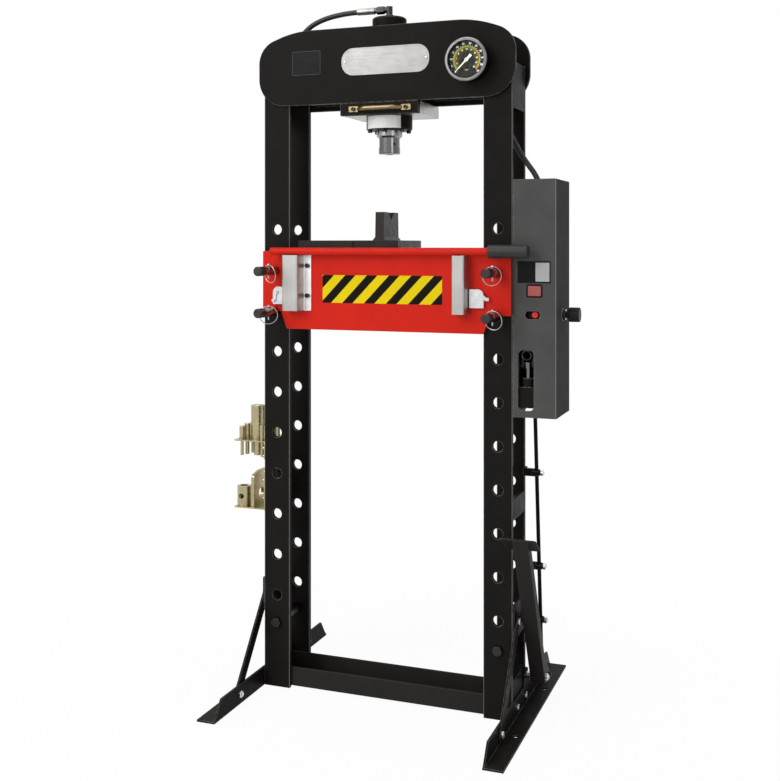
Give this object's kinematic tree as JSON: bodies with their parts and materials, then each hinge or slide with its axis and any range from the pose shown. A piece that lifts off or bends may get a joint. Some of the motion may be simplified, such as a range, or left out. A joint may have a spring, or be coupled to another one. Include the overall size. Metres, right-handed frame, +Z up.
{
  "type": "hydraulic press",
  "caption": "Floor-standing workshop press: bolted upright frame, sliding ram head, height-set bed on pins, and a side pump worked by lever or pedal.",
  "frame": {"origin": "floor level, in the middle of the four anchor holes of the feet", "axes": "+X to the pump side, +Y to the rear, +Z up"},
  "size_m": [0.9486, 0.69, 1.836],
  "materials": {
    "black_paint": "semi-gloss powder coat",
    "grey_paint": "fine-textured powder coat",
    "red_paint": "gloss powder coat",
    "black_oxide": "black oxide",
    "dark_steel": "oiled dark steel",
    "ground_steel": "ground",
    "bright_zinc": "bright zinc plate",
    "yellow_zinc": "yellow passivated zinc plate",
    "ram_chrome": "polished",
    "gauge_ring": "satin steel",
    "gauge_window": "clear",
    "dial_face": "matt black",
    "needle_paint": "matt",
    "plain_aluminium": "mill finish",
    "hose_rubber": "smooth rubber cover",
    "grip_rubber": "matt",
    "black_plastic": "moulded",
    "red_plastic": "moulded"
  },
  "bodies": {
    "frame": {"upright_front_left": "black_paint", "upright_front_right": "black_paint", "upright_rear_left": "black_paint", "upright_rear_right": "black_paint", "head_plate_front": "black_paint", "head_plate_rear": "black_paint", "head_rails": "black_paint", "side_plates": "black_paint", "base_beams": "black_paint", "foot_left": "black_paint", "foot_right": "black_paint", "braces": "black_paint", "tie_bolts": "black_oxide", "frame_bolts": "bright_zinc", "gauge_case": "black_oxide", "gauge_bezel": "gauge_ring", "gauge_glass": "gauge_window", "gauge_dial": "dial_face", "gauge_pipe": "bright_zinc", "pump_plate": "black_paint", "pump_cover": "grey_paint", "pump_body": "black_paint", "oil_tank": "black_paint", "filler_plug": "red_plastic", "pivot_pins": "bright_zinc", "rod_guides": "black_paint", "tool_racks": "yellow_zinc", "mandrels": "yellow_zinc", "rack_adapters": "yellow_zinc", "hydraulic_hose": "hose_rubber"},
    "needle": {"gauge_needle": "needle_paint"},
    "carriage": {"carriage_plate": "ground_steel", "carriage_keeper": "black_paint", "carriage_handle": "yellow_zinc", "carriage_screws": "black_oxide", "hanger_plate": "ground_steel", "cylinder_tube": "black_paint", "nose_flange": "black_paint", "elbow_fitting": "black_oxide", "return_spring": "black_oxide"},
    "ram": {"ram": "ram_chrome"},
    "bed": {"bed_plate_front": "red_paint", "bed_plate_rear": "red_paint", "bed_cross_plates": "red_paint", "bed_pins": "dark_steel", "linch_pins": "bright_zinc", "press_plates": "dark_steel", "v_block": "dark_steel", "guard_brackets": "plain_aluminium", "bracket_screws": "black_oxide", "latch_bases": "bright_zinc", "pump_lever": "red_paint", "lever_grip": "grip_rubber"},
    "latch_left": {"latch_lever_left": "bright_zinc"},
    "latch_right": {"latch_lever_right": "bright_zinc"},
    "pedal": {"pedal": "black_paint"},
    "foot_rod": {"foot_rod": "black_paint"},
    "lever_socket": {"lever_socket": "black_paint"},
    "pump_piston": {"pump_piston": "ram_chrome"},
    "release_knob": {"release_knob": "black_plastic"}
  },
  "joints": [
    {"name": "carriage_slide", "type": "slide", "parent": "frame", "child": "carriage", "axis": [1, 0, 0], "range_m": [-0.11, 0.11], "deforming": ["hydraulic_hose"]},
    {"name": "ram_slide", "type": "slide", "parent": "carriage", "child": "ram", "axis": [0, 0, -1], "range_m": [0, 0.15], "stiffness_N_per_m": 2000, "springref_m": -0.05, "deforming": ["return_spring"]},
    {"name": "bed_lift", "type": "slide", "parent": "frame", "child": "bed", "axis": [0, 0, 1], "range_m": [-0.66, 0]},
    {"name": "gauge_pointer", "type": "hinge", "parent": "frame", "child": "needle", "pos_m": [0.24, -0.1, 1.66], "axis": [0, 1, 0], "range_deg": [0, 270], "stiffness_Nm_per_rad": 0.002, "springref_deg": -17.19},
    {"name": "pedal_pivot", "type": "hinge", "parent": "frame", "child": "pedal", "pos_m": [0.382, 0.06, 0.075], "axis": [1, 0, 0], "range_deg": [0, 40], "stiffness_Nm_per_rad": 8, "springref_deg": -34.38},
    {"name": "foot_rod_slide", "type": "slide", "parent": "frame", "child": "foot_rod", "axis": [0, -0.1115, 0.9938], "range_m": [0, 0.0309]},
    {"name": "lever_socket_pivot", "type": "hinge", "parent": "frame", "child": "lever_socket", "pos_m": [0.382, -0.02819, 0.89], "axis": [1, 0, 0], "range_deg": [0, 43.1]},
    {"name": "plunger_slide", "type": "slide", "parent": "frame", "child": "pump_piston", "axis": [0, 0, 1], "range_m": [-0.0148, 0]},
    {"name": "release_valve", "type": "hinge", "parent": "frame", "child": "release_knob", "pos_m": [0.47, 0.004, 1.02], "axis": [1, 0, 0], "range_deg": [0, 360]},
    {"name": "latch_left_pivot", "type": "hinge", "parent": "bed", "child": "latch_left", "pos_m": [-0.3, -0.092, 1.0695], "axis": [0, 1, 0], "range_deg": [0, 135]},
    {"name": "latch_right_pivot", "type": "hinge", "parent": "bed", "child": "latch_right", "pos_m": [0.266, -0.092, 1.0695], "axis": [0, 1, 0], "range_deg": [-90, 0]}
  ],
  "couplings": [
    {"joint": "foot_rod_slide", "follows": "pedal_pivot", "m_per_rad": 0.044092},
    {"joint": "lever_socket_pivot", "follows": "pedal_pivot", "ratio": 1.075},
    {"joint": "plunger_slide", "follows": "pedal_pivot", "m_per_rad": -0.020999}
  ]
}
